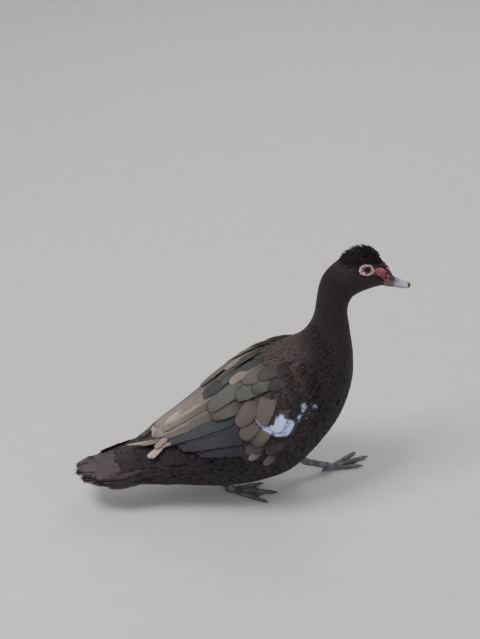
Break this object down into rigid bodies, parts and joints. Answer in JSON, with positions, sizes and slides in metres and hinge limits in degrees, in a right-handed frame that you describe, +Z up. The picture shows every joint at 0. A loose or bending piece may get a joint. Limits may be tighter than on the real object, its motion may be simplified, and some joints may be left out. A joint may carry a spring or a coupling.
{
  "type": "duck figure",
  "caption": "Life-size still figure of a walking muscovy duck hen with folded wings, a raised crest and webbed feet.",
  "frame": {"origin": "on the ground, under the middle of the bird's bounding box", "axes": "+X the way the bird walks, towards the bill; +Y its left side; +Z up"},
  "size_m": [0.5022, 0.1868, 0.3995],
  "materials": {
    "body_plumage": "dark chocolate-brown contour feathers with paler edges",
    "head_plumage": "near-black feathers, with a bare pinkish ring round each eye and red knobs at the bill",
    "tail_feathers": "dark brown tail feathers",
    "wing_feathers": "grey-green, brown, tan and slate flight feathers and coverts, with a white patch",
    "eye": "dark brown, wet",
    "bill": "pale blue-grey horn, black at the base and the nail",
    "leg_skin": "dark grey scaled skin",
    "claw": "dark horn"
  },
  "bodies": {
    "root": {"torso": "body_plumage", "neck_lower": "body_plumage", "neck_upper": "body_plumage", "head": "head_plumage", "tail": "tail_feathers", "wing_right": "wing_feathers", "wing_left": "wing_feathers", "eye_right": "eye", "eye_left": "eye", "bill_upper": "bill", "bill_lower": "bill", "thigh_left": "body_plumage", "shank_left": "leg_skin", "foot_left": "leg_skin", "thigh_right": "body_plumage", "shank_right": "leg_skin", "foot_right": "leg_skin", "claw_left_inner": "claw", "claw_left_middle": "claw", "claw_left_outer": "claw", "claw_left_hind": "claw", "claw_right_inner": "claw", "claw_right_middle": "claw", "claw_right_outer": "claw", "claw_right_hind": "claw"}
  },
  "joints": []
}
